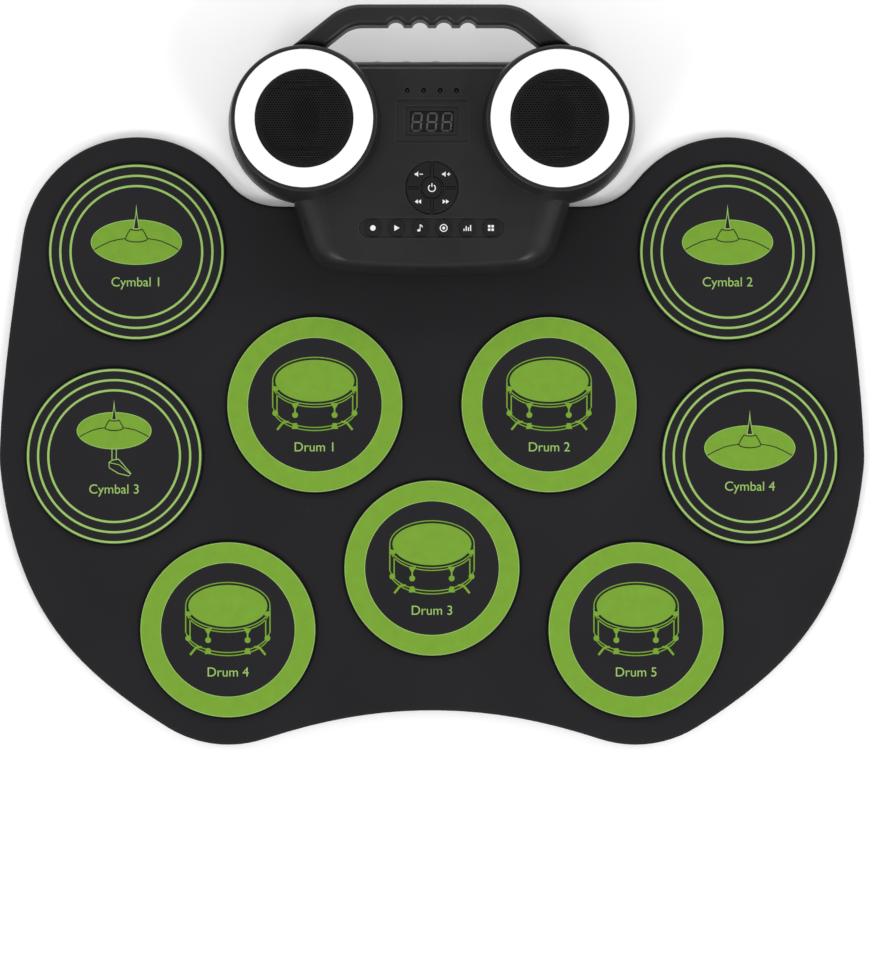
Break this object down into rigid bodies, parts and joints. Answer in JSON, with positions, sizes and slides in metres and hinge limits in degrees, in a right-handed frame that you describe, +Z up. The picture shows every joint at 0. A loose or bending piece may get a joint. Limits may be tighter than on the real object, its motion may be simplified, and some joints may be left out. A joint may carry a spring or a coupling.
{
  "type": "electronic drum pad",
  "caption": "Roll-up silicone drum mat with round strike pads and a speaker console with keys, display and carry handle.",
  "frame": {"origin": "centre of the playing mat on the table plane", "axes": "+X to the player's right, +Y away from the player towards the carry handle, +Z up from the table"},
  "size_m": [0.4834, 0.4085, 0.045],
  "materials": {
    "silicone_sheet": "matte soft silicone",
    "pad_silicone": "matte silicone with a printed face",
    "shell_plastic": "fine satin texture",
    "handle_plastic": "fine satin texture",
    "trim_plastic": "smooth satin white",
    "grille_metal": "black powder coat",
    "basket_steel": "black",
    "magnet_ferrite": "dull",
    "cone_paper": "pressed paper",
    "window_lens": "smoked",
    "display_case": "black face",
    "lamp_epoxy": "unlit tinted",
    "key_rubber": "satin",
    "keypad_rubber": "translucent grey",
    "board_laminate": "green solder mask",
    "socket_plastic": "black",
    "socket_steel": "plated",
    "screw_steel": "zinc",
    "bar_steel": "zinc",
    "foot_rubber": "matte",
    "film_plastic": "polyimide film",
    "foam": "open-cell foam",
    "brass_plate": "bright",
    "ceramic_disc": "silvered",
    "battery_wrap": "heat-shrink wrap",
    "lead_insulation": "PVC"
  },
  "bodies": {
    "console_and_mat": {"aux_jack": "socket_plastic", "battery_pack": "battery_wrap", "board_screws": "screw_steel", "clamp_screws": "screw_steel", "control_board": "board_laminate", "display_module": "display_case", "display_window": "window_lens", "handle": "handle_plastic", "handle_screws": "screw_steel", "headphone_jack": "socket_plastic", "indicator_leds": "lamp_epoxy", "jack_board": "board_laminate", "keypad_membrane": "keypad_rubber", "left_basket": "basket_steel", "left_grille": "grille_metal", "left_magnet": "magnet_ferrite", "left_trim_ring": "trim_plastic", "lower_shell": "shell_plastic", "mat_base_sheet": "silicone_sheet", "mat_clamp_bar": "bar_steel", "mat_top_sheet": "silicone_sheet", "pedal_jack": "socket_plastic", "piezo_ceramics": "ceramic_disc", "piezo_plates": "brass_plate", "right_basket": "basket_steel", "right_grille": "grille_metal", "right_magnet": "magnet_ferrite", "right_trim_ring": "trim_plastic", "rubber_feet": "foot_rubber", "sensor_film": "film_plastic", "sensor_foam": "foam", "shell_screws": "screw_steel", "speaker_leads": "lead_insulation", "speaker_screws": "screw_steel", "upper_shell": "shell_plastic", "usb_socket": "socket_steel"},
    "crash_pad_left": {"crash_pad_left": "pad_silicone"},
    "crash_pad_right": {"crash_pad_right": "pad_silicone"},
    "hihat_pad": {"hihat_pad": "pad_silicone"},
    "ride_pad": {"ride_pad": "pad_silicone"},
    "high_tom_pad": {"high_tom_pad": "pad_silicone"},
    "low_tom_pad": {"low_tom_pad": "pad_silicone"},
    "bass_pad": {"bass_pad": "pad_silicone"},
    "snare_pad": {"snare_pad": "pad_silicone"},
    "floor_tom_pad": {"floor_tom_pad": "pad_silicone"},
    "key_power": {"key_power": "key_rubber"},
    "key_volume_up": {"key_volume_up": "key_rubber"},
    "key_volume_down": {"key_volume_down": "key_rubber"},
    "key_tempo_down": {"key_tempo_down": "key_rubber"},
    "key_tempo_up": {"key_tempo_up": "key_rubber"},
    "key_record": {"key_record": "key_rubber"},
    "key_play": {"key_play": "key_rubber"},
    "key_demo": {"key_demo": "key_rubber"},
    "key_kit": {"key_kit": "key_rubber"},
    "key_rhythm": {"key_rhythm": "key_rubber"},
    "key_style": {"key_style": "key_rubber"},
    "left_cone": {"left_cone": "cone_paper", "left_dust_cap": "cone_paper"},
    "right_cone": {"right_cone": "cone_paper", "right_dust_cap": "cone_paper"}
  },
  "joints": [
    {"name": "crash_pad_left_strike", "type": "slide", "parent": "console_and_mat", "child": "crash_pad_left", "axis": [0, 0, -1], "range_m": [0, 0.0008], "stiffness_N_per_m": 4000},
    {"name": "crash_pad_right_strike", "type": "slide", "parent": "console_and_mat", "child": "crash_pad_right", "axis": [0, 0, -1], "range_m": [0, 0.0008], "stiffness_N_per_m": 4000},
    {"name": "hihat_pad_strike", "type": "slide", "parent": "console_and_mat", "child": "hihat_pad", "axis": [0, 0, -1], "range_m": [0, 0.0008], "stiffness_N_per_m": 4000},
    {"name": "ride_pad_strike", "type": "slide", "parent": "console_and_mat", "child": "ride_pad", "axis": [0, 0, -1], "range_m": [0, 0.0008], "stiffness_N_per_m": 4000},
    {"name": "high_tom_pad_strike", "type": "slide", "parent": "console_and_mat", "child": "high_tom_pad", "axis": [0, 0, -1], "range_m": [0, 0.0008], "stiffness_N_per_m": 4000},
    {"name": "low_tom_pad_strike", "type": "slide", "parent": "console_and_mat", "child": "low_tom_pad", "axis": [0, 0, -1], "range_m": [0, 0.0008], "stiffness_N_per_m": 4000},
    {"name": "bass_pad_strike", "type": "slide", "parent": "console_and_mat", "child": "bass_pad", "axis": [0, 0, -1], "range_m": [0, 0.0008], "stiffness_N_per_m": 4000},
    {"name": "snare_pad_strike", "type": "slide", "parent": "console_and_mat", "child": "snare_pad", "axis": [0, 0, -1], "range_m": [0, 0.0008], "stiffness_N_per_m": 4000},
    {"name": "floor_tom_pad_strike", "type": "slide", "parent": "console_and_mat", "child": "floor_tom_pad", "axis": [0, 0, -1], "range_m": [0, 0.0008], "stiffness_N_per_m": 4000},
    {"name": "key_power_press", "type": "slide", "parent": "console_and_mat", "child": "key_power", "axis": [0, 0, -1], "range_m": [0, 0.0008], "stiffness_N_per_m": 1500},
    {"name": "key_volume_up_press", "type": "slide", "parent": "console_and_mat", "child": "key_volume_up", "axis": [0, 0, -1], "range_m": [0, 0.0008], "stiffness_N_per_m": 1500},
    {"name": "key_volume_down_press", "type": "slide", "parent": "console_and_mat", "child": "key_volume_down", "axis": [0, 0, -1], "range_m": [0, 0.0008], "stiffness_N_per_m": 1500},
    {"name": "key_tempo_down_press", "type": "slide", "parent": "console_and_mat", "child": "key_tempo_down", "axis": [0, 0, -1], "range_m": [0, 0.0008], "stiffness_N_per_m": 1500},
    {"name": "key_tempo_up_press", "type": "slide", "parent": "console_and_mat", "child": "key_tempo_up", "axis": [0, 0, -1], "range_m": [0, 0.0008], "stiffness_N_per_m": 1500},
    {"name": "key_record_press", "type": "slide", "parent": "console_and_mat", "child": "key_record", "axis": [0, 0, -1], "range_m": [0, 0.0008], "stiffness_N_per_m": 1500},
    {"name": "key_play_press", "type": "slide", "parent": "console_and_mat", "child": "key_play", "axis": [0, 0, -1], "range_m": [0, 0.0008], "stiffness_N_per_m": 1500},
    {"name": "key_demo_press", "type": "slide", "parent": "console_and_mat", "child": "key_demo", "axis": [0, 0, -1], "range_m": [0, 0.0008], "stiffness_N_per_m": 1500},
    {"name": "key_kit_press", "type": "slide", "parent": "console_and_mat", "child": "key_kit", "axis": [0, 0, -1], "range_m": [0, 0.0008], "stiffness_N_per_m": 1500},
    {"name": "key_rhythm_press", "type": "slide", "parent": "console_and_mat", "child": "key_rhythm", "axis": [0, 0, -1], "range_m": [0, 0.0008], "stiffness_N_per_m": 1500},
    {"name": "key_style_press", "type": "slide", "parent": "console_and_mat", "child": "key_style", "axis": [0, 0, -1], "range_m": [0, 0.0008], "stiffness_N_per_m": 1500},
    {"name": "left_cone_travel", "type": "slide", "parent": "console_and_mat", "child": "left_cone", "axis": [0, 0, 1], "range_m": [-0.001, 0.001], "stiffness_N_per_m": 1200},
    {"name": "right_cone_travel", "type": "slide", "parent": "console_and_mat", "child": "right_cone", "axis": [0, 0, 1], "range_m": [-0.001, 0.001], "stiffness_N_per_m": 1200}
  ]
}
